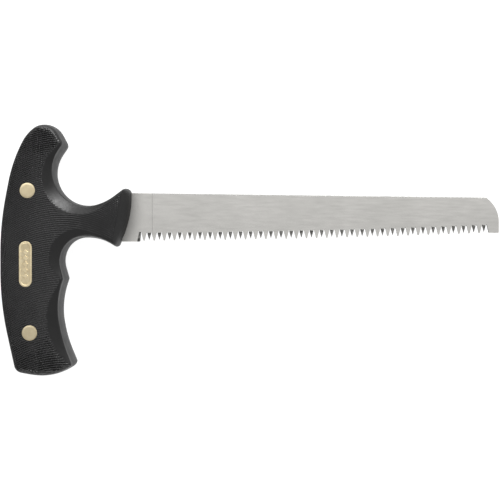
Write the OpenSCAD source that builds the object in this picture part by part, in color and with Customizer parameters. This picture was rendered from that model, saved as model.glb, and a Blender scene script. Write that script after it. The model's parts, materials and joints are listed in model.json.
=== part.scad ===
// T-handle hand saw with a fixed blade: a toothed steel plate whose tang is clamped
// between two moulded grip scales by two brass cutlery rivets. A brass shield is let
// into the front scale and held by two small pins.
//
// The saw lies on its back scale. X runs along the blade towards the toe, Y runs up
// the grip towards the horn, Z is the thickness of the grip. The origin is the middle
// of the bounding box in X and Y, on the plane that the saw lies on.

/* [Grip] */
// Thickness of the grip over both scales
grip_t = 21; // [18:0.5:26]
// Depth of the grip from its back edge to the front of the guard
grip_depth = 65; // [64:0.5:70]

/* [Blade] */
// Length of blade in front of the guard
blade_l = 185; // [150:1:190]
// Thickness of the steel
blade_t = 1.6; // [1.2:0.1:2.4]
// Height of the spine above the middle of the grip, at the guard
spine_y = 28.8; // [27:0.1:30]
// Fall of the spine from the guard to the toe
spine_fall = 2.2; // [0:0.1:4]
// Width of the ground bevel along the spine
spine_bevel = 0.7; // [0.3:0.1:1.2]

/* [Teeth] */
// Distance from one tooth to the next
tooth_pitch = 2.563; // [2.5:0.001:2.6]
// Number of teeth
tooth_count = 68; // [20:2:68]
// Depth of a gullet below the tooth line
tooth_depth = 4.3; // [3:0.1:5]
// Half the angle of a gullet
tooth_half_angle = 17.8; // [15:0.1:20]
// Sideways slant of the file cuts, left and right by turns
fleam = 24; // [0:1:30]

/* [Rivets] */
// Diameter of a rivet head
head_d = 7.7; // [6:0.1:8.5]
// Thickness of a rivet head
head_t = 1.5; // [1:0.1:2]
// Diameter of the solid post
post_d = 3.2; // [2.5:0.1:3.5]
// Outer diameter of the barrel that the post is pressed into
barrel_d = 5; // [4.5:0.1:6]

/* [Shield] */
// Width of the shield
shield_w = 6.4; // [5:0.1:7]
// Length of the shield over its round ends
shield_l = 22.6; // [18:0.1:24]
// Thickness of the shield
shield_t = 1; // [0.8:0.1:1.4]
// Diameter of the pins under the shield
pin_d = 1.5; // [1:0.1:2]

/* [Hidden] */

half_t = grip_t / 2;
fit_gap = 0.05;
seam_gap = 0.02;
arc_steps = 7;
min_r = 0.3;
origin_x = (blade_l - grip_depth) / 2;

// The grip's outline at the parting plane, clockwise, as the corners of a polygon whose
// corners are rounded: x from the front of the guard, y from mid-height, corner radius.
back_x = -grip_depth;
grip_corners = [
    // back edge, going up, and the round top of the horn
    [back_x, 13, 150], [back_x + 6, 44.5, 75], [-52, 58, 22], [-41, 67.4, 9], [-35, 58, 25],
    // tip of the horn and the finger groove above the neck
    [-32.5, 53, 3], [-39, 44, 17], [-38, 34.5, 16.5], [-30, 19, 17], [-12, 24.5, 27],
    // guard: top corner, front, bottom corner
    [-5.5, 29.5, 12], [-0.4, 33.6, 2.6], [0.2, 16.5, 50], [-7, 0.9, 1.6],
    // underside of the neck, the groove of the first finger and the cusp below it
    [-15, 6.5, 25], [-31.5, 6, 11.5], [-35, -5.5, 12], [-32.5, -14.5, 2.5],
    // long groove for the other fingers
    [-36.5, -27, 39], [-33, -45.5, 70],
    // butt, and the back edge again
    [-28, -57.5, 2], [-37.5, -64, 28], [-50, -62.5, 44], [-57.5, -61, 5], [back_x, -26, 150]
];

// Round scoops that thin the face beside each finger groove: centre, radius at the face, slope
scoops = [[-25.3, 36.3, 18.7, 28], [-26.5, -3.6, 13.8, 18], [-14.4, -35, 27.4, 18]];

// Sloped front of the guard: its top edge as two points, and its fall
front_top = [-4.2, 28];
front_low = [-8.4, 6];
front_slope = 46;

// The blade's hidden tang: a strap through the neck that ends in a bar along the grip,
// as corners with radii, clockwise from the top of the bar.
tang_corners = [
    [-55.5, 38, 4], [-45.5, 38, 4], [-44, 23, 7], [-34, 19.5, 10], [-14, 19.5, 10],
    [-5, 26, 2], [-3, 26, 0.5], [-5.5, 6.5, 0.5], [-7, 6.5, 2], [-16, 10.5, 12],
    [-34, 10.5, 10], [-42, 8, 8], [-46, -10, 30], [-43.5, -49, 5], [-56, -49, 4], [-59, -8, 60]
];

rivet_spots = [[-50.8, 29.5], [-49.7, -41.1]];
head_bevel = 0.35;
post_tip_gap = 2; // from the barrel's own head to the tip of the post
barrel_floor = 1;
barrel_mouth_gap = 0.4;
press_gap = 0.02;
shield_spot = [-51.7, -7];
shield_rim = 1;
shield_sink = 0.25;
stud_pitch = 3;
stud_w = 1.4;
pin_spacing = 14;
pin_l = 5;

// pegs on the back of the front scale that fit sockets in the back scale
peg_spots = [[-44, 56], [-38, 4], [-45, -56]];
peg_d = 3;
peg_h = 2;

ricasso_l = 3.6;
ricasso_y = 4.2;
first_tooth_y = 4.7;
tooth_line_slope = 0.0145;
tooth_line_curve = 0.0001;
first_tooth_x = 6;
toe_y = 8.6;
// back edge of the full-height blade, inside the guard, at the spine and below
shoulder_x = [-3.5, -7.5];
plunge_x = 10.6;
spine_grind_t = 0.25;

// ---- outlines -------------------------------------------------------------------

function unit(v) = v / norm(v);
function xy(p) = [p[0], p[1]];
function prev_i(c, i) = (i + len(c) - 1) % len(c);
function next_i(c, i) = (i + 1) % len(c);
function back_dir(c, i) = unit(xy(c[prev_i(c, i)]) - xy(c[i]));
function ahead_dir(c, i) = unit(xy(c[next_i(c, i)]) - xy(c[i]));
function half_angle(c, i) = acos(back_dir(c, i) * ahead_dir(c, i)) / 2;
// length of edge that the full radius of corner i would use up
function tangent_l(c, i) = c[i][2] / tan(half_angle(c, i));
// share of an edge's two radii that fits on the edge from corner i
function edge_share(c, i) =
    norm(xy(c[next_i(c, i)]) - xy(c[i])) / (tangent_l(c, i) + tangent_l(c, next_i(c, i)));
function fitted_r(c, i) = c[i][2] * min(1, edge_share(c, prev_i(c, i)), edge_share(c, i));
// +1 where a clockwise outline turns right, at an outer corner
function turn_sign(c, i) = sign(cross(ahead_dir(c, i), -back_dir(c, i)));

function corner_arc(c, i) =
    let (h = half_angle(c, i), r = fitted_r(c, i), a = back_dir(c, i),
        mid = xy(c[i]) + unit(a + ahead_dir(c, i)) * r / sin(h),
        from = xy(c[i]) + a * r / tan(h) - mid,
        start = atan2(from[1], from[0]),
        sweep = -turn_sign(c, i) * (180 - 2 * h))
    [for (k = [0:arc_steps - 1])
        let (t = start + sweep * (k + 0.5) / arc_steps) mid + r * [cos(t), sin(t)]];

function outline(c) = [for (i = [0:len(c) - 1]) each corner_arc(c, i)];

// normal that points into a clockwise outline from the edge after corner i
function inward(c, i) = let (d = ahead_dir(c, i)) [d[1], -d[0]];

// the same outline with every edge moved in by w
function inset(c, w) = [for (i = [0:len(c) - 1])
    let (n1 = inward(c, prev_i(c, i)), n2 = inward(c, i), p = xy(c[i]) + w * (n1 + n2) / (1 + n1 * n2))
    [p[0], p[1], max(min_r, c[i][2] - turn_sign(c, i) * w)]];

// ---- grip scales ----------------------------------------------------------------

// one half of the grip, solid, from the parting plane up to its face
module scale_blank() {
    translate([0, 0, seam_gap / 2]) linear_extrude(half_t - seam_gap / 2) polygon(outline(grip_corners));
}

// cone that opens upwards through the face, from a small flat well below any material
module scoop(spot) {
    tip_r = 1;
    fall = tan(spot[3]);
    reach = (spot[2] - tip_r) * fall;
    translate([spot[0], spot[1], half_t - reach])
        cylinder(h = reach + 1, r1 = tip_r, r2 = spot[2] + 1 / fall, $fn = 96);
}

module front_bevel() {
    run = front_top - front_low;
    past_ends = 20;
    translate([front_low[0], front_low[1], half_t])
        rotate([0, 0, -atan(run[0] / run[1])]) rotate([0, front_slope, 0])
            translate([0, -past_ends, 0]) cube([grip_t, norm(run) + 2 * past_ends, grip_t]);
}

module scale_body() {
    difference() {
        scale_blank();
        for (s = scoops) scoop(s);
        front_bevel();
    }
}

module tang_pocket() {
    linear_extrude(blade_t + 2 * fit_gap, center = true)
        polygon(outline(inset(tang_corners, -0.15)));
}

// slot in the front of the guard for the full height of the blade
module blade_slot() {
    top = spine_y + fit_gap;
    low = ricasso_y - fit_gap;
    linear_extrude(blade_t + 2 * fit_gap, center = true)
        polygon([[shoulder_x[1] - fit_gap, low], [shoulder_x[0] - fit_gap, top], [5, top], [5, low]]);
}

module at_rivets() {
    for (p = rivet_spots) translate([p[0], p[1], 0]) children();
}

module front_half() {
    difference() {
        scale_body();
        tang_pocket();
        blade_slot();
        at_rivets() {
            cylinder(h = half_t + 1, d = barrel_d + 2 * fit_gap, $fn = 48);
            translate([0, 0, half_t - head_t]) cylinder(h = head_t + 1, d = head_d + 2 * fit_gap, $fn = 64);
        }
        translate([shield_spot[0], shield_spot[1], half_t - shield_t])
            shield_blank(shield_t + 1, fit_gap);
        at_pins() translate([0, 0, half_t - shield_t - pin_l]) cylinder(h = pin_l + 1, d = pin_d + fit_gap, $fn = 24);
    }
    for (p = peg_spots) translate([p[0], p[1], -peg_h]) cylinder(h = peg_h + 1, d = peg_d, $fn = 32);
}

module back_half() {
    mirror([0, 0, 1]) difference() {
        scale_body();
        tang_pocket();
        blade_slot();
        at_rivets() {
            cylinder(h = half_t + 1, d = barrel_d + 2 * fit_gap, $fn = 48);
            translate([0, 0, half_t - head_t]) cylinder(h = head_t + 1, d = head_d + 2 * fit_gap, $fn = 64);
        }
        for (p = peg_spots) translate([p[0], p[1], -1])
            cylinder(h = peg_h + 1.4, d = peg_d + 2 * fit_gap, $fn = 32);
    }
}

// ---- blade ----------------------------------------------------------------------

function tooth_line(x) = let (u = x - first_tooth_x)
    first_tooth_y + tooth_line_slope * u + tooth_line_curve * u * (x - blade_l / 2);
function spine_line(x) = spine_y - spine_fall * x / blade_l;

// straight top, nose rounded down to a square toe, and the curved line of the teeth
function blade_outline() =
    let (nose = outline([[blade_l - 60, spine_line(blade_l - 60), 1], [blade_l - 6.4, spine_line(blade_l), 1.5],
            [blade_l, 20.6, 14.5], [blade_l, toe_y, 0.6], [blade_l - 60, toe_y, 1]]),
        last_x = first_tooth_x + (tooth_count - 1) * tooth_pitch + tooth_pitch / 2)
    [[shoulder_x[0], spine_y], each [for (i = [arc_steps:4 * arc_steps - 1]) nose[i]],
        each [for (x = [last_x:-tooth_pitch * 4:ricasso_l]) [x, tooth_line(x)]],
        [ricasso_l, ricasso_y], [shoulder_x[1], ricasso_y]];

module gullet(x, slant) {
    top = tooth_line(x) + tooth_depth;
    w = 2 * (tooth_depth + 3) * tan(tooth_half_angle);
    translate([x, 0, 0]) multmatrix([[1, 0, tan(slant), 0], [0, 1, 0, 0], [0, 0, 1, 0]])
        linear_extrude(blade_t + 1, center = true)
            polygon([[0, top], [w / 2, top - tooth_depth - 3], [-w / 2, top - tooth_depth - 3]]);
}

// wedges that thin the plate along its spine in front of the plunge line, one per side
module spine_grind() {
    clear = 0.6;
    for (side = [0, 1]) mirror([0, 0, side])
        translate([plunge_x, spine_line(plunge_x), blade_t / 2])
            rotate([0, 0, -atan(spine_fall / blade_l)]) rotate([0, 90, 0])
                linear_extrude(blade_l)
                    polygon([[0, -spine_bevel], [-clear, -spine_bevel], [-clear, clear],
                        [spine_grind_t, clear], [spine_grind_t, 0]]);
}

module blade_plate() {
    difference() {
        union() {
            linear_extrude(blade_t, center = true) polygon(blade_outline());
            linear_extrude(blade_t, center = true) polygon(outline(tang_corners));
        }
        for (i = [0:tooth_count]) gullet(first_tooth_x + (i - 0.5) * tooth_pitch, i % 2 == 0 ? -fleam : fleam);
        spine_grind();
        at_rivets() cylinder(h = blade_t + 1, d = barrel_d + 2 * fit_gap, center = true, $fn = 48);
    }
}

// ---- rivets and shield ------------------------------------------------------------

// flat head with a bevelled edge, flush with the face
module head() {
    translate([0, 0, half_t - head_t]) {
        cylinder(h = head_t - head_bevel, d = head_d, $fn = 64);
        translate([0, 0, head_t - head_bevel])
            cylinder(h = head_bevel, d1 = head_d, d2 = head_d - 2 * head_bevel, $fn = 64);
    }
}

module rivet_post() {
    head();
    translate([0, 0, head_t - half_t + post_tip_gap])
        cylinder(h = grip_t - 2 * head_t - post_tip_gap, d = post_d, $fn = 48);
}

// open towards the front face, with a floor that the post stops short of
module rivet_barrel() {
    mirror([0, 0, 1]) head();
    difference() {
        translate([0, 0, head_t - half_t])
            cylinder(h = grip_t - 2 * head_t - barrel_mouth_gap, d = barrel_d, $fn = 48);
        translate([0, 0, head_t - half_t + barrel_floor])
            cylinder(h = grip_t, d = post_d + press_gap, $fn = 48);
    }
}

module at_pins() {
    for (side = [-1, 1])
        translate([shield_spot[0], shield_spot[1] + side * pin_spacing / 2, 0]) children();
}

module shield_blank(h, grow) {
    linear_extrude(h) {
        square([shield_w + 2 * grow, shield_l - shield_w], center = true);
        for (side = [-1, 1]) translate([0, side * (shield_l - shield_w) / 2])
            circle(d = shield_w + 2 * grow, $fn = 64);
    }
}

// plate with a raised rim round a sunk field that holds a row of plain square studs
module shield_plate() {
    root = 0.05; // how far a stud reaches into the plate
    translate([shield_spot[0], shield_spot[1], half_t - shield_t]) {
        difference() {
            shield_blank(shield_t, 0);
            translate([0, 0, shield_t - shield_sink]) shield_blank(shield_sink + 1, -shield_rim);
        }
        for (k = [-2:2]) translate([0, stud_pitch * k, shield_t - shield_sink - root])
            rotate([0, 0, 45]) linear_extrude(shield_sink) square(stud_w, center = true);
    }
}

module pins() {
    at_pins() translate([0, 0, half_t - shield_t - pin_l]) cylinder(h = pin_l, d = pin_d, $fn = 24);
}

// ---- parts in their places ----------------------------------------------------------

module place() {
    translate([-origin_x, 0, half_t]) children();
}

module blade() {
    color("silver") place() blade_plate();
}

module front_scale() {
    color([0.16, 0.16, 0.17]) place() front_half();
}

module back_scale() {
    color([0.2, 0.2, 0.21]) place() back_half();
}

module upper_rivet_post() {
    color("khaki") place() translate([rivet_spots[0][0], rivet_spots[0][1], 0]) rivet_post();
}

module upper_rivet_barrel() {
    color("darkkhaki") place() translate([rivet_spots[0][0], rivet_spots[0][1], 0]) rivet_barrel();
}

module lower_rivet_post() {
    color("khaki") place() translate([rivet_spots[1][0], rivet_spots[1][1], 0]) rivet_post();
}

module lower_rivet_barrel() {
    color("darkkhaki") place() translate([rivet_spots[1][0], rivet_spots[1][1], 0]) rivet_barrel();
}

module shield() {
    color("palegoldenrod") place() shield_plate();
}

module shield_pins() {
    color("darkkhaki") place() pins();
}

blade();
front_scale();
back_scale();
upper_rivet_post();
upper_rivet_barrel();
lower_rivet_post();
lower_rivet_barrel();
shield();
shield_pins();
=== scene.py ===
import json
import math

import bmesh
import bpy
import numpy as np
from mathutils import Matrix, Vector
from mathutils.geometry import delaunay_2d_cdt

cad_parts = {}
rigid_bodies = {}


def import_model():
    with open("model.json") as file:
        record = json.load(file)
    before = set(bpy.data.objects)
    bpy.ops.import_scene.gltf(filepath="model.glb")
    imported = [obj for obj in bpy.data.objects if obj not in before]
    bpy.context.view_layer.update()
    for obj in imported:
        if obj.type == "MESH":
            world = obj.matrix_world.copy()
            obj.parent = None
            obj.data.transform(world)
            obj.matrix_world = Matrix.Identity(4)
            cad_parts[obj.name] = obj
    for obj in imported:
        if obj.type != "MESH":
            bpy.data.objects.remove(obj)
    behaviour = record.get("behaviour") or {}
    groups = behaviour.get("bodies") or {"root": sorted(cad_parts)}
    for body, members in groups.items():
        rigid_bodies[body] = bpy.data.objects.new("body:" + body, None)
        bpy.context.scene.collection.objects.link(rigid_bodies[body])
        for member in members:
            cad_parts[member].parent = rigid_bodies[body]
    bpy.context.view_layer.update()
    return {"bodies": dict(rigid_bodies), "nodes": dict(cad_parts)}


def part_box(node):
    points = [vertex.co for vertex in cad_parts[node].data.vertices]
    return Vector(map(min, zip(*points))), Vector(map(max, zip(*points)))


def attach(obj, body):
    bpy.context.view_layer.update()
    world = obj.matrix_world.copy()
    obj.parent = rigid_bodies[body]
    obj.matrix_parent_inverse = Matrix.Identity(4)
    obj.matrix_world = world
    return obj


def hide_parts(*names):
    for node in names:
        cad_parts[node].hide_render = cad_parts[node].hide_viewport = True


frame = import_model()
print("frame loaded:", ", ".join(sorted(frame["nodes"])))

mm = 0.001
root = sorted(frame["bodies"])[0]

# The saw lies flat. Its shapes are drawn in millimetres from the front of the guard, at the
# grip's mid-height, on the parting plane between the scales.
gripLow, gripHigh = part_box("front_scale")
gripDepth = 65.0
guardX = gripLow.x / mm + gripDepth
seamZ = gripHigh.z / mm / 2
faceZ = gripHigh.z / mm - seamZ
origin = np.array([guardX, 0.0, seamZ])


def toFrame(points):
    return (np.asarray(points, float).reshape(-1, 3) + origin) * mm


def vertexPlaces(obj):
    co = np.zeros(len(obj.data.vertices) * 3)
    obj.data.vertices.foreach_get("co", co)
    return co.reshape(-1, 3)


def meshObject(name, points, faces, material=None):
    mesh = bpy.data.meshes.new(name)
    mesh.from_pydata([tuple(p) for p in points], [], [tuple(int(i) for i in f) for f in faces])
    mesh.validate()
    if material:
        mesh.materials.append(material)
    obj = bpy.data.objects.new(name, mesh)
    bpy.context.scene.collection.objects.link(obj)
    return obj


def shadeByAngle(obj, degrees):
    obj.data.shade_smooth()
    obj.data.set_sharp_from_angle(angle=math.radians(degrees))


def turnOutwards(obj):
    bm = bmesh.new()
    bm.from_mesh(obj.data)
    bmesh.ops.remove_doubles(bm, verts=bm.verts, dist=1e-7)
    bmesh.ops.recalc_face_normals(bm, faces=bm.faces)
    bm.to_mesh(obj.data)
    bm.free()


def applyModifiers(obj):
    # swaps the mesh for the evaluated one and takes the modifiers off
    bpy.context.view_layer.update()
    evaluated = obj.evaluated_get(bpy.context.evaluated_depsgraph_get())
    result = bpy.data.meshes.new_from_object(evaluated)
    result.name = obj.name
    for i in reversed(range(len(result.materials))):
        if result.materials[i] is None:
            result.materials.pop(index=i)
    obj.modifiers.clear()
    obj.data = result
    return obj


def combine(obj, others, operation="DIFFERENCE"):
    # cuts the others out of a piece, or joins them to it; their faces keep their own materials
    for other in others:
        mod = obj.modifiers.new("boolean", "BOOLEAN")
        mod.operation = operation
        mod.solver = "EXACT"
        mod.object = other
        mod.material_mode = "TRANSFER" if other.data.materials else "INDEX"
    applyModifiers(obj)
    for other in others:
        bpy.data.objects.remove(other)
    return obj


def lathe(name, profile, centre, steps=72, material=None):
    # profile: radius and height pairs from the axis at one end round to the axis at the other
    x, y = centre
    rows = profile[1:-1]
    points = [(x, y, profile[0][1])]
    for r, z in rows:
        for k in range(steps):
            a = 2 * math.pi * k / steps
            points.append((x + r * math.cos(a), y + r * math.sin(a), z))
    points.append((x, y, profile[-1][1]))
    last = len(points) - 1
    faces = []
    for k in range(steps):
        j = (k + 1) % steps
        faces.append((0, 1 + j, 1 + k))
        for row in range(len(rows) - 1):
            a, b = 1 + row * steps, 1 + (row + 1) * steps
            faces.append((a + k, a + j, b + j, b + k))
        a = 1 + (len(rows) - 1) * steps
        faces.append((a + k, a + j, last))
    obj = meshObject(name, toFrame(points), faces, material)
    turnOutwards(obj)
    return obj


def ringStack(name, rings, material=None):
    # closed shell through equal rings of points, with flat ends
    n = len(rings[0])
    faces = [tuple(range(n - 1, -1, -1)), tuple((len(rings) - 1) * n + i for i in range(n))]
    for k in range(len(rings) - 1):
        for i in range(n):
            j = (i + 1) % n
            faces.append((k * n + i, k * n + j, (k + 1) * n + j, (k + 1) * n + i))
    obj = meshObject(name, toFrame(np.vstack(rings)), faces, material)
    turnOutwards(obj)
    return obj


def atHeight(outline, z):
    return np.c_[np.asarray(outline, float), np.full(len(outline), z)]


def prism(name, outline, low, high, material=None):
    return ringStack(name, [atHeight(outline, low), atHeight(outline, high)], material)


def cornerArcs(corners):
    # centre, radius, start angle and sweep of the arc at each corner of a clockwise outline
    c = np.asarray(corners, float)
    p = c[:, :2]
    ahead = np.roll(p, -1, 0) - p
    edge = np.linalg.norm(ahead, axis=1)
    ahead = ahead / edge[:, None]
    back = -np.roll(ahead, 1, 0)
    half = np.arccos(np.clip((ahead * back).sum(1), -1, 1)) / 2
    used = c[:, 2] / np.tan(half)
    share = edge / (used + np.roll(used, -1))
    r = c[:, 2] * np.minimum(1, np.minimum(share, np.roll(share, 1)))
    middle = ahead + back
    middle = p + middle / np.linalg.norm(middle, axis=1)[:, None] * (r / np.sin(half))[:, None]
    start = p + back * (r / np.tan(half))[:, None] - middle
    turn = np.sign(ahead[:, 0] * -back[:, 1] + ahead[:, 1] * back[:, 0])
    sweep = -turn * (np.pi - 2 * half)
    return middle, r, np.arctan2(start[:, 1], start[:, 0]), sweep


def onArcs(middle, r, angles):
    return middle + r[:, None] * np.c_[np.cos(angles), np.sin(angles)]


def outlineCounts(corners, step):
    # samples on each arc and on the straight stretch after it
    middle, r, start, sweep = cornerArcs(corners)
    ends = onArcs(middle, r, start + sweep)
    starts = onArcs(middle, r, start)
    gaps = np.linalg.norm(np.roll(starts, -1, 0) - ends, axis=1)
    arcs = np.maximum(4, np.ceil(np.abs(sweep) * r / step)).astype(int)
    return arcs, np.maximum(1, np.ceil(gaps / step)).astype(int)


def outlinePoints(corners, counts):
    middle, r, start, sweep = cornerArcs(corners)
    starts = onArcs(middle, r, start)
    out = []
    for i in range(len(r)):
        t = start[i] + sweep[i] * (np.arange(counts[0][i]) + 0.02) / (counts[0][i] - 0.96)
        arc = middle[i] + r[i] * np.c_[np.cos(t), np.sin(t)]
        ahead = starts[(i + 1) % len(r)]
        k = (np.arange(1, counts[1][i]) / counts[1][i])[:, None]
        out += [arc, arc[-1] * (1 - k) + ahead * k]
    return np.vstack(out)


def insetCorners(corners, width):
    # moves every edge inwards and fits the radii to the new outline
    c = np.asarray(corners, float)
    ahead = np.roll(c[:, :2], -1, 0) - c[:, :2]
    ahead /= np.linalg.norm(ahead, axis=1)[:, None]
    n2 = np.c_[ahead[:, 1], -ahead[:, 0]]
    n1 = np.roll(n2, 1, 0)
    back = np.roll(ahead, 1, 0)
    turn = np.sign(ahead[:, 0] * back[:, 1] - ahead[:, 1] * back[:, 0])
    moved = c[:, :2] + width * (n1 + n2) / (1 + (n1 * n2).sum(1))[:, None]
    return np.c_[moved, np.maximum(0.25, c[:, 2] - turn * width)]


def insetRing(corners, counts, width):
    return outlinePoints(insetCorners(corners, width), counts)


def insideOutline(points, ring):
    # even-odd test of many points against one closed ring
    x, y = points[:, 0][:, None], points[:, 1][:, None]
    x1, y1 = ring[:, 0][None], ring[:, 1][None]
    x2, y2 = np.roll(x1, -1, 1), np.roll(y1, -1, 1)
    inside = np.zeros(len(points), bool)
    for s in range(0, len(points), 4000):
        part = slice(s, s + 4000)
        crosses = (y1 > y[part]) != (y2 > y[part])
        at = x1 + (y[part] - y1) * (x2 - x1) / np.where(y2 == y1, 1e-12, y2 - y1)
        inside[part] = (crosses & (x[part] < at)).sum(1) % 2 == 1
    return inside


gripShape = {
    # corners of the outline at the parting plane, clockwise from the back edge: x, y, radius
    "corners": [
        (-65, 13, 150), (-59, 44.5, 75), (-52, 58, 22), (-41, 67.4, 9), (-35, 58, 25),
        (-32.5, 53, 3), (-39, 44, 17), (-38, 34.5, 16.5), (-30, 19, 17), (-12, 24.5, 27),
        (-5.5, 29.5, 12), (-0.4, 33.6, 2.6), (0.2, 16.5, 50), (-7, 0.9, 1.6),
        (-15, 6.5, 25), (-31.5, 6, 11.5), (-35, -5.5, 12), (-32.5, -14.5, 2.5),
        (-36.5, -27, 39), (-33, -45.5, 70),
        (-28, -57.5, 2), (-37.5, -64, 28), (-50, -62.5, 44), (-57.5, -61, 5), (-65, -26, 150),
    ],
    "draft": 0.6,  # how far the walls lean in on their way up
    "wallShares": [0.85, 0.65, 0.4, 0.15],  # heights of the rings on the crowned walls
    "seamChamfer": [(0.0, 0.22), (0.06, 0.02)],  # inset and height
    "edgeRadius": 1.4,  # rounding where wall and face meet
    "edgeShares": [0, 0.06, 0.16, 0.3, 0.46, 0.62, 0.8, 1.0],  # rings across the rounding
    "softSpots": [  # where the rounding is wider: centre, reach, extra radius
        (-38.5, 60.0, 9.0, 2.4), (-46.0, -64.0, 15.0, 1.2), (-2.0, 33.0, 4.0, 1.5),
    ],
    "scoops": [  # centre, radius, slope
        (-25.3, 36.3, 18.7, 28), (-26.5, -3.6, 13.8, 18), (-14.4, -35, 27.4, 18),
    ],
    "scoopEdgeRadius": 0.45,  # rounding beside a scoop
    "scoopBlend": 1.2,  # depth of scoop over which the rounding narrows to that
    "frontLine": [(-4.2, 28), (-8.4, 6)],  # top edge of the guard's sloped front
    "frontSlope": 46,
    "outlineStep": 0.35,
    "latticeStep": (0.34, 0.17),
    "scoopStep": 0.9,
}

tangShape = {
    # the pocket that the blade's tang lies in, clockwise, and the slot through the guard
    "corners": [
        (-55.5, 38, 4), (-45.5, 38, 4), (-44, 23, 7), (-34, 19.5, 10), (-14, 19.5, 10),
        (-5, 26, 2), (-3, 26, 0.5), (-5.5, 6.5, 0.5), (-7, 6.5, 2), (-16, 10.5, 12),
        (-34, 10.5, 10), (-42, 8, 8), (-46, -10, 30), (-43.5, -49, 5), (-56, -49, 4), (-59, -8, 60),
    ],
    "slot": [(-7.55, 4.15), (-3.55, 28.85), (5, 28.85), (5, 4.15)],
    "clearance": 0.15,
}


def scoopLimit(points):
    # height of the scoops over each point
    x, y = points[:, 0], points[:, 1]
    limit = np.full(len(points), 99.0)
    for cx, cy, r, slope in gripShape["scoops"]:
        away = np.hypot(x - cx, y - cy)
        limit = np.minimum(limit, faceZ + (away - r) * math.tan(math.radians(slope)))
    return limit


def surfaceLimit(points):
    # the same with the sloped front of the guard
    x, y = points[:, 0], points[:, 1]
    (x1, y1), (x2, y2) = gripShape["frontLine"]
    run = np.array([x1 - x2, y1 - y2])
    run /= np.linalg.norm(run)
    ahead = (x - x2) * run[1] - (y - y2) * run[0]
    slope = math.tan(math.radians(gripShape["frontSlope"]))
    return np.minimum(scoopLimit(points), faceZ - ahead * slope)


def edgeWidth(points):
    width = np.full(len(points), gripShape["edgeRadius"])
    for cx, cy, reach, extra in gripShape["softSpots"]:
        away = np.hypot(points[:, 0] - cx, points[:, 1] - cy)
        width += extra * np.exp(-(away / reach) ** 2)
    return width


def roundedEdge(points, inset):
    # height over each point at that distance inside the wall
    cut = np.clip((faceZ - scoopLimit(points)) / gripShape["scoopBlend"], 0, 1)
    r = edgeWidth(points) * (1 - cut) + gripShape["scoopEdgeRadius"] * cut
    rise = np.clip((r - inset) / r, 0, 1)
    return np.minimum(surfaceLimit(points), faceZ) - r * (1 - np.sqrt(1 - rise ** 2))


def edgeRings(corners, counts, width):
    # rings spread over the rounding's own width at each place, and one just inside them
    steps = np.linspace(0, width.max() + 0.2, 24)
    stack = np.array([insetRing(corners, counts, gripShape["draft"] + d) for d in steps])
    index = np.arange(len(width))

    def ringAt(inset):
        k = np.clip(inset / steps[1], 0, len(steps) - 1.001)
        low = k.astype(int)
        share = (k - low)[:, None]
        return stack[low, index] * (1 - share) + stack[low + 1, index] * share

    return [ringAt(width * k) for k in gripShape["edgeShares"]], ringAt(width + 0.12)


def latticePoints(low, high, stepX, stepY):
    rows = np.arange(low[1], high[1], stepY)
    columns = np.arange(low[0], high[0], stepX)
    x, y = np.meshgrid(columns, rows)
    x = x + (np.arange(len(rows)) % 2)[:, None] * stepX / 2
    return np.c_[x.ravel(), y.ravel()]


def creasePoints():
    # where the scoops and the guard's front leave the face: three close lines each
    points = []
    for cx, cy, r, _ in gripShape["scoops"]:
        t = np.linspace(0, 2 * np.pi, int(2 * np.pi * r / 0.3), endpoint=False)
        for grow in (-0.45, -0.2, 0.0):
            points.append(np.c_[cx + (r + grow) * np.cos(t), cy + (r + grow) * np.sin(t)])
    (x1, y1), (x2, y2) = gripShape["frontLine"]
    k = np.linspace(-0.3, 1.3, 110)[:, None]
    for shift in (0.0, 0.14, 0.3):
        points.append(np.array([x1 + shift, y1]) * k + np.array([x2 + shift, y2]) * (1 - k))
    return np.vstack(points)


def facePoints(low, high):
    # a fine lattice where the face carries saw marks, and a coarse one in the scoops
    fine = latticePoints(low, high, *gripShape["latticeStep"])
    fine = fine[surfaceLimit(fine) > faceZ + 0.02]
    coarse = latticePoints(low, high, gripShape["scoopStep"], gripShape["scoopStep"] * 0.866)
    coarse = coarse[surfaceLimit(coarse) < faceZ - 0.35]
    return np.vstack([creasePoints(), fine, coarse])


def wallRings(corners, counts, upper):
    # from the rounding down to the parting plane: crowned, with a fine chamfer at the seam
    walls = []
    for share in gripShape["wallShares"]:
        ring = insetRing(corners, counts, gripShape["draft"] * share ** 2)
        walls.append(np.c_[ring, upper * share])
    for inset, z in gripShape["seamChamfer"]:
        walls.append(atHeight(insetRing(corners, counts, inset), z))
    return walls


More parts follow.
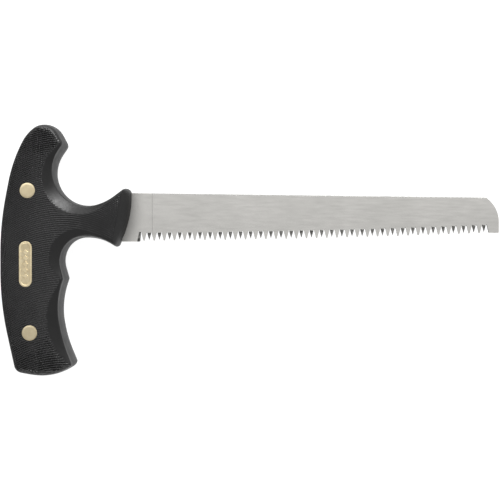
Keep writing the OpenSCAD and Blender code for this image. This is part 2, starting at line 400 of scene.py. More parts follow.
def scaleBlank(name):
    # the front scale before its saw marks and pockets
    corners = gripShape["corners"]
    counts = outlineCounts(corners, gripShape["outlineStep"])
    base = outlinePoints(corners, counts)
    n = len(base)
    width = edgeWidth(base)
    rings, inner = edgeRings(corners, counts, width)
    face = facePoints(base.min(0), base.max(0))
    face = face[insideOutline(face, inner)]
    heights = [roundedEdge(r, width * k) for r, k in zip(rings, gripShape["edgeShares"])]
    heights = np.concatenate(heights + [np.minimum(surfaceLimit(face), faceZ)])
    flat = [Vector(p) for p in np.vstack(rings + [face])]
    edges = [(i, (i + 1) % n) for i in range(n)]
    places, _, triangles, sources, _, _ = delaunay_2d_cdt(flat, edges, [], 0, 1e-5)
    sources = np.array([s[0] if s else 0 for s in sources])
    heights = heights[sources]
    places = np.array([tuple(p) for p in places])
    triangles = np.array(triangles)
    where = {int(s): i for i, s in enumerate(sources)}
    rim = [where[i] for i in range(n)]
    # slivers outside the straight stretches have all their corners on the rim
    onRim = np.zeros(len(places), bool)
    onRim[rim] = True
    inside = insideOutline(places[triangles].mean(1), rings[0])
    faces = [tuple(t) for t in triangles[inside & ~onRim[triangles].all(1)]]
    walls = wallRings(corners, counts, heights[rim])
    above = rim
    for level in range(len(walls)):
        below = [len(places) + level * n + i for i in range(n)]
        for i in range(n):
            j = (i + 1) % n
            faces.append((above[i], above[j], below[j], below[i]))
        above = below
    faces.append(tuple(reversed(above)))
    obj = meshObject(name, toFrame(np.vstack([np.c_[places, heights]] + walls)), faces)
    turnOutwards(obj)
    return obj


def noteLimits(obj):
    # notes how high each point may stay; those below the face keep the height that they have
    points = vertexPlaces(obj) / mm - origin
    limit = surfaceLimit(points[:, :2])
    below = points[:, 2] < faceZ - 0.001
    limit[below] = points[below, 2]
    noted = obj.data.attributes.new("surfaceLimit", "FLOAT", "POINT")
    noted.data.foreach_set("value", ((limit + seamZ) * mm).astype(np.float32))


class TreeMaker:
    def __init__(self, tree):
        self.tree = tree

    def node(self, kind, **settings):
        made = self.tree.nodes.new(kind)
        for key, value in settings.items():
            setattr(made, key, value)
        return made

    def link(self, source, target):
        self.tree.links.new(source, target)

    def put(self, value, socket):
        if isinstance(value, bpy.types.NodeSocket):
            self.link(value, socket)
        else:
            socket.default_value = value

    def math(self, operation, *values):
        made = self.node("ShaderNodeMath", operation=operation)
        for i, value in enumerate(values):
            self.put(value, made.inputs[i])
        return made.outputs[0]

    def vector(self, *values):
        made = self.node("ShaderNodeCombineXYZ")
        for i, value in enumerate(values):
            self.put(value, made.inputs[i])
        return made.outputs[0]

    def split(self, vector):
        made = self.node("ShaderNodeSeparateXYZ")
        self.link(vector, made.inputs[0])
        return made.outputs

    def mapRange(self, value, source, target=(0.0, 1.0), interpolation="SMOOTHSTEP"):
        made = self.node("ShaderNodeMapRange", interpolation_type=interpolation)
        self.link(value, made.inputs["Value"])
        for label, number in zip(("From Min", "From Max", "To Min", "To Max"), (*source, *target)):
            self.put(number, made.inputs[label])
        return made.outputs[0]


def geometryTree(name, values):
    # a tree with one input for each named value
    tree = bpy.data.node_groups.new(name, "GeometryNodeTree")
    face = tree.interface
    face.new_socket("Geometry", in_out="INPUT", socket_type="NodeSocketGeometry")
    for label, value in values.items():
        if isinstance(value, bpy.types.Material):
            face.new_socket(label, in_out="INPUT", socket_type="NodeSocketMaterial")
            continue
        kind = "NodeSocketInt" if isinstance(value, int) else "NodeSocketFloat"
        made = face.new_socket(label, in_out="INPUT", socket_type=kind)
        made.default_value = value
    face.new_socket("Geometry", in_out="OUTPUT", socket_type="NodeSocketGeometry")
    maker = TreeMaker(tree)
    return maker, maker.node("NodeGroupInput").outputs, maker.node("NodeGroupOutput")


def finishTree(t, get, geometry, out):
    realize = t.node("GeometryNodeRealizeInstances")
    paint = t.node("GeometryNodeSetMaterial")
    t.link(geometry, realize.inputs[0])
    t.link(realize.outputs[0], paint.inputs["Geometry"])
    t.link(get["Material"], paint.inputs["Material"])
    t.link(paint.outputs[0], out.inputs[0])
    return t.tree


def moveTo(t, geometry, position):
    move = t.node("GeometryNodeSetPosition")
    t.link(geometry, move.inputs["Geometry"])
    t.link(position, move.inputs["Position"])
    return move.outputs[0]


def runTree(obj, makeTree, values):
    tree = makeTree(values)
    mod = obj.modifiers.new("nodes", "NODES")
    mod.node_group = tree
    for item in tree.interface.items_tree:
        if item.in_out == "INPUT" and item.name in values:
            mod[item.identifier] = values[item.name]
    return applyModifiers(obj)


sawMarks = {
    # one set of equal arcs stepping up the grip, as a large cutter leaves them, in millimetres
    "Arc Radius": 47.5,
    "Arc Centre": -33.5,
    "Per Millimetre": 0.935,
    "Gain": 0.00077,  # closer together towards the horn
    "Sharpness": 3.5,  # higher makes the marks narrower
    "Depth": 0.235,
    "End Gain": 0.9,  # extra depth towards both ends of the grip
    "Neck Start": -6.0,
    "Neck End": 16.0,
    "Fade": 0.5,  # share of the depth lost along the neck
    "Wander": 0.1,
    "Wander Scale": 160.0,  # of the noise, per metre
    "Patchiness": 0.45,
    "Seed": 3.0,
}


def sawMarkTree(values):
    # lowers the face of a scale along a set of curved saw marks
    t, get, out = geometryTree("sawMarkedFace", values)
    position = t.node("GeometryNodeInputPosition").outputs[0]
    place = t.split(position)
    x = t.math("MULTIPLY", place[0], 1000.0)
    y = t.math("MULTIPLY", place[1], 1000.0)
    aside = t.math("SUBTRACT", x, get["Arc Centre"])
    reach = t.math("SUBTRACT", t.math("MULTIPLY", get["Arc Radius"], get["Arc Radius"]),
                   t.math("MULTIPLY", aside, aside))
    up = t.math("ADD", y, t.math("SUBTRACT", get["Arc Radius"], t.math("SQRT", reach)))
    density = t.math("MULTIPLY_ADD", t.math("MULTIPLY", up, 0.5), get["Gain"], get["Per Millimetre"])
    noise = t.node("ShaderNodeTexNoise", noise_dimensions="4D")
    noise.inputs["Detail"].default_value = 3.0
    t.link(get["Wander Scale"], noise.inputs["Scale"])
    t.link(position, noise.inputs["Vector"])
    t.link(get["Seed"], noise.inputs["W"])
    offset = t.math("SUBTRACT", noise.outputs[0], 0.5)
    rows = t.math("MULTIPLY_ADD", up, density, t.math("MULTIPLY", offset, get["Wander"]))
    wave = t.math("ABSOLUTE", t.math("COSINE", t.math("MULTIPLY", rows, math.pi)))
    groove = t.math("POWER", wave, get["Sharpness"])
    patches = t.math("MULTIPLY_ADD", t.math("MULTIPLY", offset, 2.0), get["Patchiness"], 1.0)
    # the end gain grows with the square of y and is whole at 50 mm
    ends = t.math("MULTIPLY", t.math("MULTIPLY", y, y), 0.0004)
    ends = t.math("MULTIPLY_ADD", ends, get["End Gain"], 1.0)
    neck = t.mapRange(aside, (get["Neck Start"], get["Neck End"]))
    kept = t.math("SUBTRACT", 1.0, t.math("MULTIPLY", neck, get["Fade"]))
    depth = t.math("MULTIPLY", t.math("MULTIPLY", get["Depth"], patches),
                   t.math("MULTIPLY", ends, kept))
    sink = t.math("MULTIPLY", t.math("MULTIPLY", groove, depth), 0.001)
    limit = t.node("GeometryNodeInputNamedAttribute", data_type="FLOAT")
    limit.inputs["Name"].default_value = "surfaceLimit"
    cutHeight = t.math("SUBTRACT", get["Face Height"], sink)
    height = t.math("SMOOTH_MIN", limit.outputs[0], cutHeight, 0.3 * mm)
    moved = moveTo(t, get["Geometry"], t.vector(place[0], place[1], height))
    return finishTree(t, get, moved, out)


def newMaterial(name):
    material = bpy.data.materials.new(name)
    material.use_nodes = True
    t = TreeMaker(material.node_tree)
    shader = material.node_tree.nodes["Principled BSDF"]
    return material, t, shader, t.node("ShaderNodeTexCoord").outputs["Object"]


def noiseAt(t, coords, scale, detail=3.0, roughness=0.5, stretch=None):
    if stretch:
        mapping = t.node("ShaderNodeMapping")
        mapping.inputs["Scale"].default_value = stretch
        t.link(coords, mapping.inputs["Vector"])
        coords = mapping.outputs[0]
    noise = t.node("ShaderNodeTexNoise")
    noise.inputs["Scale"].default_value = scale
    noise.inputs["Detail"].default_value = detail
    noise.inputs["Roughness"].default_value = roughness
    t.link(coords, noise.inputs["Vector"])
    return noise.outputs[0]


def tintBetween(t, value, dark, light):
    made = t.node("ShaderNodeValToRGB")
    for element, at, colour in zip(made.color_ramp.elements, (0.3, 0.7), (dark, light)):
        element.position = at
        element.color = (*colour, 1.0)
    t.link(value, made.inputs[0])
    return made.outputs[0]


def shadedColour(t, shader, colour, shade):
    scaled = t.node("ShaderNodeVectorMath", operation="SCALE")
    t.link(colour, scaled.inputs[0])
    t.link(shade, scaled.inputs["Scale"])
    t.link(scaled.outputs[0], shader.inputs["Base Color"])


def roughnessFrom(t, shader, value, spread, base):
    t.link(t.math("MULTIPLY_ADD", value, spread, base), shader.inputs["Roughness"])


def bumpFrom(t, value, shader, strength, distance):
    bump = t.node("ShaderNodeBump")
    bump.inputs["Strength"].default_value = strength
    bump.inputs["Distance"].default_value = distance
    t.link(value, bump.inputs["Height"])
    t.link(bump.outputs[0], shader.inputs["Normal"])


def heightFromSeam(t, coords):
    return t.math("ABSOLUTE", t.math("MULTIPLY_ADD", t.split(coords)[2], 1000.0, -seamZ))


plasticLook = {
    "dark": (0.006, 0.006, 0.0062),
    "light": (0.0085, 0.0084, 0.0085),
    "roughness": 0.26,
    "roughnessSpread": 0.16,
    "wallBand": (6.0, 9.2),  # the moulded walls near the seam are duller than the faces
    "wallRoughness": 0.2,
    "ior": 1.4,
    "grain": (2600, 0.05 * mm),  # scale and depth
}

steelLooks = {
    # darkest and lightest colour, roughness and scale of the clouds
    "bladeSteel": ((0.53, 0.522, 0.5), (0.575, 0.565, 0.543), 0.38, 70),
    # painted shade: the plunge groove and the ground spine bevel are painted far darker than the blade
    "paintedShadeSpineSteel": ((0.22, 0.22, 0.215), (0.27, 0.268, 0.26), 0.38, 70),
    # painted shade: the steel of the teeth's ground facets and notches is painted far darker than the
    # blade
    "paintedShadeFacetSteel": ((0.05, 0.049, 0.046), (0.4, 0.395, 0.38), 0.45, 900),
}

guardShadow = {
    # painted shade from the guard: the steel is darker close to the guard, along a curve like the guard's
    # front
    "band": (-2.0, 7.0),
    "shade": (0.66, 1.0),
    "curveTop": 16.5,
    "curve": 0.029,
}

brassLook = {
    "dark": (0.8, 0.67, 0.43),
    "light": (0.92, 0.8, 0.55),
    # painted shade: the brass darkens with depth across this band below the grip's faces
    "sunkBand": (0.26, 0.05),  # depths below the faces of the grip
    "sunkPaintedShade": 0.82,
    # brightness of each brass; the lower rivet's darker copy of the rivet brass is painted shade
    "shades": {"rivetBrass": 0.81, "paintedShadeRivetBrass": 0.74, "shieldBrass": 0.95},
}


def gripPlastic():
    look = plasticLook
    material, t, shader, coords = newMaterial("gripPlastic")
    patches = noiseAt(t, coords, 90, 4)
    t.link(tintBetween(t, patches, look["dark"], look["light"]), shader.inputs["Base Color"])
    wall = t.mapRange(heightFromSeam(t, coords), look["wallBand"], (look["wallRoughness"], 0.0))
    base = t.math("ADD", wall, look["roughness"])
    roughnessFrom(t, shader, noiseAt(t, coords, 300, 4), look["roughnessSpread"], base)
    shader.inputs["IOR"].default_value = look["ior"]
    scale, depth = look["grain"]
    bumpFrom(t, noiseAt(t, coords, scale, 3, 0.6), shader, 0.5, depth)
    return material


def guardShade(t, coords):
    look = guardShadow
    place = t.split(coords)
    x = t.math("MULTIPLY_ADD", place[0], 1000.0, -guardX)
    under = t.math("MULTIPLY_ADD", place[1], -1000.0, look["curveTop"])
    under = t.math("MAXIMUM", under, 0.0)
    away = t.math("MULTIPLY_ADD", t.math("MULTIPLY", under, under), look["curve"], x)
    return t.mapRange(away, look["band"], look["shade"])


def brushedSteel(name):
    dark, light, roughness, cloudScale = steelLooks[name]
    material, t, shader, coords = newMaterial(name)
    shader.inputs["Metallic"].default_value = 1.0
    clouds = noiseAt(t, coords, cloudScale, 5, 0.6)
    # painted shade from the guard darkens the steel beside it
    shadedColour(t, shader, tintBetween(t, clouds, dark, light), guardShade(t, coords))
    brushing = noiseAt(t, coords, 900, 3, 0.5, (0.12, 1.0, 1.0))
    roughnessFrom(t, shader, brushing, 0.2, roughness)
    bumpFrom(t, noiseAt(t, coords, 3200, 2, 0.6), shader, 0.3, 0.03 * mm)
    return material


def paleBrass(name):
    look = brassLook
    material, t, shader, coords = newMaterial(name)
    shader.inputs["Metallic"].default_value = 1.0
    dark, light = (tuple(look["shades"][name] * v for v in look[key]) for key in ("dark", "light"))
    band = [faceZ - depth for depth in look["sunkBand"]]
    # painted shade: brass below the grip's faces is darker, in the shield's sunk field and round the
    # rivet rims
    sunk = t.mapRange(heightFromSeam(t, coords), band, (look["sunkPaintedShade"], 1.0), "LINEAR")
    tint = noiseAt(t, coords, 500, 4, 0.6)
    shadedColour(t, shader, tintBetween(t, tint, dark, light), sunk)
    roughnessFrom(t, shader, noiseAt(t, coords, 1500, 3), 0.2, 0.32)
    bumpFrom(t, noiseAt(t, coords, 4000, 2), shader, 0.25, 0.03 * mm)
    return material


plastic = gripPlastic()
steel, paintedShadeSpineSteel, paintedShadeFacetSteel = (brushedSteel(name) for name in steelLooks)
rivetBrass, paintedShadeRivetBrass, shieldBrass = (paleBrass(name) for name in brassLook["shades"])
print("materials made")

rivets = {
    "spots": {"upper": (-50.8, 29.5), "lower": (-49.7, -41.1)},
    "headRadius": 3.85,
    "flatRadius": 3.05,
    "headThickness": 1.5,
    "rimDrop": 0.22,
    "postRadius": 1.6,
    "barrelRadius": 2.5,
    "tipGap": 2.0,  # between the post's tip and the other head
    "clearance": 0.05,
}

shieldShape = {
    "centre": (-51.7, -7.0),
    "width": 6.4,
    "length": 22.6,
    "thickness": 1.0,
    "rimWidth": 1.0,
    "fieldSink": 0.25,
    "clearance": 0.05,
}

lozenges = {
    "Count": 5,
    "Pitch": 3.0 * mm,
    "Width": 3.0 * mm,
    "Height": 2.9 * mm,
    "Rise": 0.18 * mm,
    "Top": 0.86,  # share of the width kept at the top
}


def headProfile(side):
    # one head from its middle to its underside: a flat, a soft step and a rounded rim
    flat, rim, top = rivets["flatRadius"], rivets["headRadius"], faceZ
    under = top - rivets["headThickness"]
    rows = [(0, top), (flat - 0.3, top), (flat - 0.05, top - 0.012), (flat + 0.1, top - 0.05),
            (rim - 0.3, top - 0.1), (rim - 0.1, top - 0.16), (rim, top - rivets["rimDrop"] - 0.06),
            (rim, under + 0.1), (rim - 0.1, under)]
    return [(r, side * z) for r, z in rows]


def rivetPost(name, spot):
    r = rivets["postRadius"]
    under = faceZ - rivets["headThickness"]
    tip = rivets["tipGap"] - under
    rows = headProfile(1) + [(r + 0.3, under), (r, under - 0.3), (r, tip + 0.3), (r - 0.3, tip), (0, tip)]
    return lathe(name, rows[::-1], spot)


def rivetBarrel(name, spot):
    r = rivets["barrelRadius"]
    low = rivets["headThickness"] - faceZ
    top = -low - 0.4
    bore = rivets["postRadius"] + 0.01
    rows = headProfile(-1) + [(r, low), (r, top - 0.2), (r - 0.2, top), (bore + 0.15, top),
                              (bore, top - 0.15), (bore, low + 1.0), (0, low + 1.0)]
    return lathe(name, rows, spot)


def stadium(width, length, steps=28):
    r, reach = width / 2, (length - width) / 2
    t = np.linspace(0, np.pi, steps + 1)
    top = np.c_[r * np.cos(t), reach + r * np.sin(t)]
    return np.vstack([top, -top]) + np.array(shieldShape["centre"])


def shieldPlate(name):
    # a plate with a raised, rounded rim round a sunk field
    s = shieldShape
    rim, sink = s["rimWidth"], s["fieldSink"]
    steps = [(0, -s["thickness"]), (0, -0.12), (0.06, -0.04), (0.16, 0.0), (rim - 0.25, 0.0),
             (rim - 0.1, -0.03), (rim + 0.1, 0.02 - sink), (rim + 0.25, -sink)]
    rings = [atHeight(stadium(s["width"] - 2 * inset, s["length"] - 2 * inset), faceZ + drop)
             for inset, drop in steps]
    return ringStack(name, rings, shieldBrass)


def lozengeTree(values):
    # a row of small raised lozenges
    t, get, out = geometryTree("lozengeRow", values)
    row = t.node("GeometryNodeMeshLine", mode="OFFSET")
    t.link(get["Count"], row.inputs["Count"])
    t.link(t.vector(0.0, get["Pitch"], 0.0), row.inputs["Offset"])
    stud = t.node("GeometryNodeMeshCone")
    stud.inputs["Vertices"].default_value = 4
    stud.inputs["Radius Bottom"].default_value = 1.0
    stud.inputs["Depth"].default_value = 1.0
    t.link(get["Top"], stud.inputs["Radius Top"])
    halfWidth = t.math("MULTIPLY", get["Width"], 0.5)
    halfHeight = t.math("MULTIPLY", get["Height"], 0.5)
    place = t.node("GeometryNodeInstanceOnPoints")
    t.link(row.outputs[0], place.inputs["Points"])
    t.link(stud.outputs["Mesh"], place.inputs["Instance"])
    t.link(t.vector(halfWidth, halfHeight, get["Rise"]), place.inputs["Scale"])
    return finishTree(t, get, place.outputs[0], out)


bladeShape = {
    "length": 185.0,
    "thickness": 1.6,
    "edgeBreak": 0.1,  # fine chamfer round the plate
    "spineY": 28.8,
    "spineFall": 2.2,
    "heelY": 4.2,  # underside of the plain steel in front of the guard
    "heelEnd": 3.6,
    "shoulders": [(-3.5, 28.8), (-7.5, 4.2)],
    "noseLength": 60.0,
    "noseTop": (6.4, 1.5),  # how far back the spine ends, and the radius there
    "noseCorner": (20.6, 14.5),  # height and radius of the nose's big round
    "toe": (8.6, 0.6),  # height and radius
    "plungeX": 10.2,  # where the ground part of the blade starts
    "plungeRun": 0.25,
    "plungeLine": (0.13, 0.07),  # half width and depth of the fine groove there
    "groundDepth": 0.04,
    "spineBevel": (0.45, 0.14),  # width and depth of the bevel along the ground spine
}

teeth = {
    "count": 68,
    "firstX": 6.0,
    "pitch": 2.563,
    "lineY": 4.7,  # tips at the first tooth
    "lineSlope": 0.0145,
    "lineCurve": 0.0001,
    "depth": 4.15,
    "rootRadius": 0.12,  # half the width of a notch at its root, which is rounded by as much
    "flankSlope": 0.165,
    "tipClearance": 3.0,  # how far the cutters reach past the tips
    "notchLean": 0.1,  # the notches lean in pairs, so every other tooth is broad at its root
    "frontGrind": (1.45, 0.42),  # fall of a facet beside its ridge, and of the ridge towards the tip
    "backGrind": (0.85, 0.1),
    "grindLean": 0.25,  # run of the slanted wall where a facet ends
    "grindWidth": 0.99,  # share of the pitch, as the grinding of two neighbours must not touch
    "heelBevel": [(4.72, 8.75), (3.8, 4.4)],  # silhouette of the first notch on the heel's side
    "heelBevelWidth": 1.2,
}


def toothLine(x):
    t = teeth
    u = x - t["firstX"]
    return t["lineY"] + t["lineSlope"] * u + t["lineCurve"] * u * (x - bladeShape["length"] / 2)


def bladeOutline():
    # clockwise from the upper shoulder: spine, nose, the line of the teeth and the heel
    b, t = bladeShape, teeth
    endX, spineEnd = b["length"], b["spineY"] - b["spineFall"]
    backX = endX - b["noseLength"]
    spineBack = spineEnd + b["spineFall"] * b["noseLength"] / endX
    topBack, topRadius = b["noseTop"]
    toeY, toeRadius = b["toe"]
    corners = [(backX, spineBack, 1), (endX - topBack, spineEnd, topRadius),
               (endX, *b["noseCorner"]), (endX, toeY, toeRadius), (backX, toeY, 1)]
    nose = []
    for middle, r, start, sweep in list(zip(*cornerArcs(corners)))[1:4]:
        angles = start + sweep * np.linspace(0.02, 0.98, 14)
        nose.append(middle + r * np.c_[np.cos(angles), np.sin(angles)])
    lastX = t["firstX"] + (t["count"] - 0.5) * t["pitch"]
    line = [(x, toothLine(x)) for x in np.arange(lastX, b["heelEnd"], -t["pitch"] * 4)]
    heel = [(b["heelEnd"], b["heelY"]), b["shoulders"][1]]
    return np.vstack([b["shoulders"][0], *nose, line, heel])


def acrossBlade(section, side, material):
    # a cutter along y over the whole height of the blade
    rings = [[(x, y, z * side) for x, z in section] for y in (-5, 35)]
    return ringStack("cutter", rings, material)


def groundCutter(side):
    # the ground part lies a little lower, from the plunge line on
    b = bladeShape
    half, x, farX = b["thickness"] / 2, b["plungeX"], b["length"] + 5
    ground = half - b["groundDepth"]
    section = [(x, half + 1), (x, half), (x + b["plungeRun"], ground), (farX, ground), (farX, half + 1)]
    return acrossBlade(section, side, steel)


def grooveCutter(side):
    # the fine groove at the plunge line
    half, x = bladeShape["thickness"] / 2, bladeShape["plungeX"]
    width, depth = bladeShape["plungeLine"]
    section = [(x - width, half + 0.1), (x, half - depth), (x + width, half + 0.1)]
    # painted shade: the groove's faces take the darker steel
    return acrossBlade(section, side, paintedShadeSpineSteel)


def spineCutter(side):
    # the bevel along the ground part of the spine
    b = bladeShape
    half = b["thickness"] / 2
    ground = half - b["groundDepth"]
    width, depth = b["spineBevel"]
    section = [(-width, ground + 0.001), (-width, half + 1), (1, half + 1), (1, ground - depth),
               (0, ground - depth)]
    rings = []
    for x in (b["plungeX"], b["length"] + 5):
        top = b["spineY"] - b["spineFall"] / b["length"] * x
        rings.append([(x, top + y, z * side) for y, z in section])
    # painted shade: the bevel's faces take the darker steel
    return ringStack("cutter", rings, paintedShadeSpineSteel)


def heelCutter(material):
    # the slanted bevel on the heel side of the first notch
    half = bladeShape["thickness"] / 2
    top, bottom = (np.array(p) for p in teeth["heelBevel"])
    ahead = (bottom - top) / np.linalg.norm(bottom - top)
    side = np.array([-ahead[1], ahead[0]])
    width = teeth["heelBevelWidth"]
    lean = width / (2 * half)
    low, high = -half - 0.07, half + 1
    section = [(-width - lean, high), (0.05, low), (0.1, low), (0.1, high)]
    rings = [[(*(top + ahead * s + side * a), z) for a, z in section] for s in (-0.2, 9.0)]
    return ringStack("heelCutter", rings, material)


def cutterRow(name, values, cutterShape):
    # a row of cutters along the line of the teeth, each with its top end at the root
    t, get, out = geometryTree(name, values)
    line = t.node("GeometryNodeMeshLine", mode="OFFSET")
    t.link(get["Count"], line.inputs["Count"])
    index = t.node("GeometryNodeInputIndex").outputs[0]
    x = t.math("MULTIPLY_ADD", index, get["Step"], get["First X"])
    away = t.math("MULTIPLY", index, get["Step"])
    bend = t.math("MULTIPLY", t.math("MULTIPLY", away, get["Line Curve"]),
                  t.math("SUBTRACT", x, get["Curve Centre"]))
    y = t.math("ADD", t.math("MULTIPLY_ADD", away, get["Line Slope"], get["Line Y"]), bend)
    spots = moveTo(t, line.outputs[0], t.vector(x, t.math("ADD", y, get["Depth"])))

    # each cutter is a block, with u, v and w from -1 to 1 across it
    block = t.node("GeometryNodeMeshCube")
    block.inputs["Size"].default_value = (1.0, 1.0, 1.0)
    block.inputs["Vertices X"].default_value = 3
    at = t.split(t.node("GeometryNodeInputPosition").outputs[0])
    u, v, w = (t.math("MULTIPLY", at[i], 2.0) for i in range(3))
    down = t.math("MULTIPLY_ADD", v, 0.5, -0.5)  # 0 at the root, -1 at the far end
    along = t.math("MULTIPLY", down, t.math("ADD", get["Depth"], get["Tip Clearance"]))
    cutter = moveTo(t, block.outputs[0], t.vector(*cutterShape(t, get, u, down, along, w)))

    place = t.node("GeometryNodeInstanceOnPoints")
    t.link(spots, place.inputs["Points"])
    t.link(cutter, place.inputs["Instance"])
    odd = t.math("MODULO", index, 2.0)
    turn = t.math("MULTIPLY_ADD", odd, get["Alternate Turn"], get["Turn"])
    t.link(t.vector(0.0, turn, 0.0), place.inputs["Rotation"])
    return finishTree(t, get, place.outputs[0], out)


def notchShape(t, get, u, down, along, w):
    # a leaning wedge that widens towards the tips, with a rounded root
    half = t.math("MULTIPLY_ADD", t.math("MULTIPLY", along, -1.0), get["Flank Slope"],
                  get["Root Radius"])
    shift = t.math("MULTIPLY", t.math("MULTIPLY_ADD", get["Depth"], 0.5, along), get["Lean"])
    rounded = t.math("MULTIPLY", t.math("SUBTRACT", 1.0, t.math("ABSOLUTE", u)),
                     t.math("ADD", down, 1.0))
    return (t.math("SUBTRACT", t.math("MULTIPLY", u, half), shift),
            t.math("MULTIPLY_ADD", rounded, get["Root Radius"], along),
            t.math("MULTIPLY", w, get["Thickness"]))


def facetShape(t, get, u, down, along, w):
    # grinds one tooth: the underside is a roof whose ridge falls towards the tip, and the wall
    # at the root leans out
    low = t.math("LESS_THAN", w, 0.0)
    side = t.math("MULTIPLY", u, t.math("MULTIPLY", get["Grind Width"], 0.5))
    pulled = t.math("MULTIPLY", t.math("MULTIPLY", low, t.math("ADD", down, 1.0)), get["Lean"])
    fall = t.math("SUBTRACT", t.math("MULTIPLY", along, get["Ridge Fall"]),
                  t.math("MULTIPLY", t.math("ABSOLUTE", side), get["Roof Slope"]))
    half = t.math("MULTIPLY", get["Thickness"], 0.5)
    underside = t.math("ADD", half, t.math("MULTIPLY", low, fall))
    return (side, t.math("SUBTRACT", along, pulled),
            t.math("ADD", underside, t.math("SUBTRACT", 1.0, low)))


def notchTree(values):
    return cutterRow("notchCutters", values, notchShape)


def facetTree(values):
    return cutterRow("facetCutters", values, facetShape)


def toothCutters(makeTree, count, step, start, material, more):
    # the row is laid out in millimetres and then brought into the frame
    t = teeth
    firstX = t["firstX"] + start * t["pitch"]
    cutters = meshObject("toothCutters", [], [])
    runTree(cutters, makeTree, {
        "Count": count, "Step": t["pitch"] * step, "First X": firstX,
        "Line Y": toothLine(firstX), "Line Slope": t["lineSlope"], "Line Curve": t["lineCurve"],
        "Curve Centre": bladeShape["length"] / 2, "Depth": t["depth"],
        "Tip Clearance": t["tipClearance"], "Thickness": bladeShape["thickness"],
        "Material": material, **more})
    for vertex in cutters.data.vertices:
        vertex.co = (vertex.co + Vector(origin)) * mm
    turnOutwards(cutters)
    return cutters


def notchRow():
    # one notch before each tooth and one after the last, leaning to and fro
    more = {"Root Radius": teeth["rootRadius"], "Flank Slope": teeth["flankSlope"],
            "Lean": teeth["notchLean"], "Turn": 0.0, "Alternate Turn": math.pi}
    return toothCutters(notchTree, teeth["count"] + 1, 1, -0.5, paintedShadeFacetSteel, more)


def facetRow(grind, start, turn):
    # every other tooth is ground from the front, and the ones between from the back
    roofSlope, ridgeFall = teeth[grind]
    more = {"Grind Width": teeth["grindWidth"] * teeth["pitch"], "Lean": teeth["grindLean"],
            "Roof Slope": roofSlope, "Ridge Fall": ridgeFall, "Turn": turn, "Alternate Turn": 0.0}
    return toothCutters(facetTree, teeth["count"] // 2, 2, start, paintedShadeFacetSteel, more)


def makeBlade(name):
    b = bladeShape
    half = b["thickness"] / 2
    broken, full = b["edgeBreak"], half - b["edgeBreak"]
    outline = atHeight(bladeOutline(), 0.0)  # its last column is the corners' radius
    steps = ((broken, -half), (0, -full), (0, full), (broken, half))
    rings = [atHeight(insetCorners(outline, inset)[:, :2], z) for inset, z in steps]
    blade = ringStack(name, rings, steel)
    corners = tangShape["corners"]
    tangOutline = outlinePoints(corners, outlineCounts(corners, 1.0))
    combine(blade, [prism("tang", tangOutline, -half, half, steel)], "UNION")
    cutters = [make(side) for side in (1, -1) for make in (groundCutter, spineCutter)]
    cutters += [grooveCutter(side) for side in (1, -1)]
    # painted shade: the teeth's notches and facets are cut with the darker steel
    cutters += [notchRow(), heelCutter(paintedShadeFacetSteel)]
    cutters += [facetRow("frontGrind", 1.0, 0.0), facetRow("backGrind", 0.0, math.pi)]
    r = rivets["barrelRadius"] + rivets["clearance"]
    for spot in rivets["spots"].values():
        cutters.append(lathe("cutter", [(0, -2), (r, -2), (r, 2), (0, 2)], spot, 48, steel))
    return combine(blade, cutters)


def pocketCutters(withShield):
    # room inside a scale for the rivets, the tang and, at the front, the shield
    r, s = rivets, shieldShape
    barrel, head = r["barrelRadius"] + r["clearance"], r["headRadius"] + r["clearance"]
    under, above = faceZ - r["headThickness"], faceZ + 1
    rows = [(0, -1.0), (barrel, -1.0), (barrel, under), (head, under), (head, above), (0, above)]
    cutters = [lathe("cutter", rows, spot) for spot in r["spots"].values()]
    grown = insetCorners(tangShape["corners"], -tangShape["clearance"])
    bladeLow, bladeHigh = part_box("blade")
    half = (bladeHigh.z - bladeLow.z) / mm / 2 + 0.05
    cutters.append(prism("cutter", outlinePoints(grown, outlineCounts(grown, 1.2)), -1, half))
    cutters.append(prism("cutter", tangShape["slot"], -1, half))
    if withShield:
        room = 2 * s["clearance"]
        hole = stadium(s["width"] + room, s["length"] + room)
        cutters.append(prism("cutter", hole, faceZ - s["thickness"], above))
    return cutters


def makeScale(name, withShield):
    obj = scaleBlank(name)
    noteLimits(obj)
    values = {**sawMarks, "Arc Centre": guardX + sawMarks["Arc Centre"]}
    runTree(obj, sawMarkTree, {**values, "Face Height": (faceZ + seamZ) * mm, "Material": plastic})
    combine(obj, pocketCutters(withShield))
    noted = obj.data.attributes.get("surfaceLimit")
    if noted:
        obj.data.attributes.remove(noted)
    return obj


def mirrorDown(obj):
    # turns the front scale's mesh into the back one, across the parting plane
    co = vertexPlaces(obj)
    co[:, 2] = 2 * seamZ * mm - co[:, 2]
    obj.data.vertices.foreach_set("co", co.ravel())
    obj.data.flip_normals()


frontScale = makeScale("gripFront", True)
shadeByAngle(frontScale, 34)
print("front scale:", len(frontScale.data.polygons), "faces")

backScale = makeScale("gripBack", False)
mirrorDown(backScale)
shadeByAngle(backScale, 34)
print("back scale:", len(backScale.data.polygons), "faces")

for obj, node in ((frontScale, "front_scale"), (backScale, "back_scale")):
    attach(obj, root)
    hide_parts(node)

for key, spot in rivets["spots"].items():
    post = rivetPost(key + "RivetPost", spot)
    barrel = rivetBarrel(key + "RivetBarrel", spot)
    for obj, node in ((post, key + "_rivet_post"), (barrel, key + "_rivet_barrel")):
        # painted shade: the lower rivet takes a darker copy of the upper rivet's brass
        obj.data.materials.append(rivetBrass if key == "upper" else paintedShadeRivetBrass)
        shadeByAngle(obj, 25)
        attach(obj, root)
        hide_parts(node)
print("rivets made")

shieldBadge = shieldPlate("shieldBadge")
shadeByAngle(shieldBadge, 30)
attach(shieldBadge, root)
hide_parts("shield")

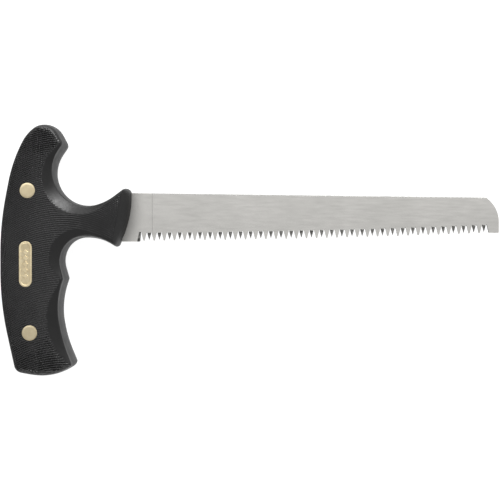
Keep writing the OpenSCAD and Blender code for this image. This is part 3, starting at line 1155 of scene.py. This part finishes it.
studs = meshObject("shieldStuds", [], [])
runTree(studs, lozengeTree, {**lozenges, "Material": shieldBrass})
middleX, middleY = shieldShape["centre"]
firstY = middleY - lozenges["Pitch"] / mm * (lozenges["Count"] - 1) / 2
field = faceZ - shieldShape["fieldSink"] - 0.01
studs.data.transform(Matrix.Translation(Vector(toFrame((middleX, firstY, field))[0])))
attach(studs, root)
print("shield made")

sawBlade = makeBlade("sawBlade")
shadeByAngle(sawBlade, 7)
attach(sawBlade, root)
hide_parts("blade")
print("blade made:", len(sawBlade.data.polygons), "faces")

for slot in frame["nodes"]["shield_pins"].material_slots:
    slot.material = rivetBrass

studio = {
    "cameraHeight": 0.52,  # above the plate
    "fieldWidth": 0.2525,  # seen at the plate
    "centre": (-0.0005, 0.0),
    "floorSize": 30.0,
    "floorGrey": 0.25,
    "floorGlow": 0.93,
    "worldGlow": 0.6,
    "softBoxes": {  # place, what it is aimed at, size and power
        "keyLight": ((0.26, 0.82, 0.72), (-0.1, 0.03, 0), (0.5, 0.2), 9.0),
        "topLight": ((-0.5, 0.62, 0.85), (-0.1, 0, 0), (0.7, 0.5), 2.5),
        "northLight": ((-0.1, 1.25, 0.36), (-0.1, 0.05, 0), (1.3, 0.4), 8.0),
        "southLight": ((-0.1, -1.25, 0.34), (-0.1, -0.05, 0), (1.3, 0.4), 5.4),
        "eastLight": ((1.3, 0.0, 0.3), (-0.1, 0, 0), (0.35, 1.2), 0.8),
    },
}


def softBox(name, place, aim, size, power):
    light = bpy.data.lights.new(name, "AREA")
    light.shape = "RECTANGLE"
    light.size, light.size_y = size
    light.energy = power
    obj = bpy.data.objects.new(name, light)
    obj.location = place
    obj.rotation_euler = (Vector(aim) - Vector(place)).to_track_quat("-Z", "Y").to_euler()
    bpy.context.scene.collection.objects.link(obj)


def makeFloor():
    h = studio["floorSize"] / 2
    material, _, shader, _ = newMaterial("paleFloor")
    shader.inputs["Base Color"].default_value = (*[studio["floorGrey"]] * 3, 1)
    shader.inputs["Roughness"].default_value = 0.9
    shader.inputs["Specular IOR Level"].default_value = 0.1
    shader.inputs["Emission Color"].default_value = (1, 1, 1, 1)
    shader.inputs["Emission Strength"].default_value = studio["floorGlow"]
    corners = [(-h, -h, 0), (h, -h, 0), (h, h, 0), (-h, h, 0)]
    floor = meshObject("floor", corners, [(0, 1, 2, 3)], material)
    floor.location.z = -0.2 * mm


makeFloor()
for name, (place, aim, size, power) in studio["softBoxes"].items():
    softBox(name, place, aim, size, power)
world = bpy.data.worlds.new("studioWorld")
world.use_nodes = True
world.node_tree.nodes["Background"].inputs["Color"].default_value = (1, 1, 1, 1)
world.node_tree.nodes["Background"].inputs["Strength"].default_value = studio["worldGlow"]
bpy.context.scene.world = world
bpy.context.scene.view_settings.view_transform = "Standard"

camera = bpy.data.objects.new("camera", bpy.data.cameras.new("camera"))
camera.data.sensor_width = 36
camera.data.lens = 36 * studio["cameraHeight"] / studio["fieldWidth"]
camera.location = (*studio["centre"], seamZ * mm + studio["cameraHeight"])
bpy.context.scene.collection.objects.link(camera)
bpy.context.scene.camera = camera
print("stage made")
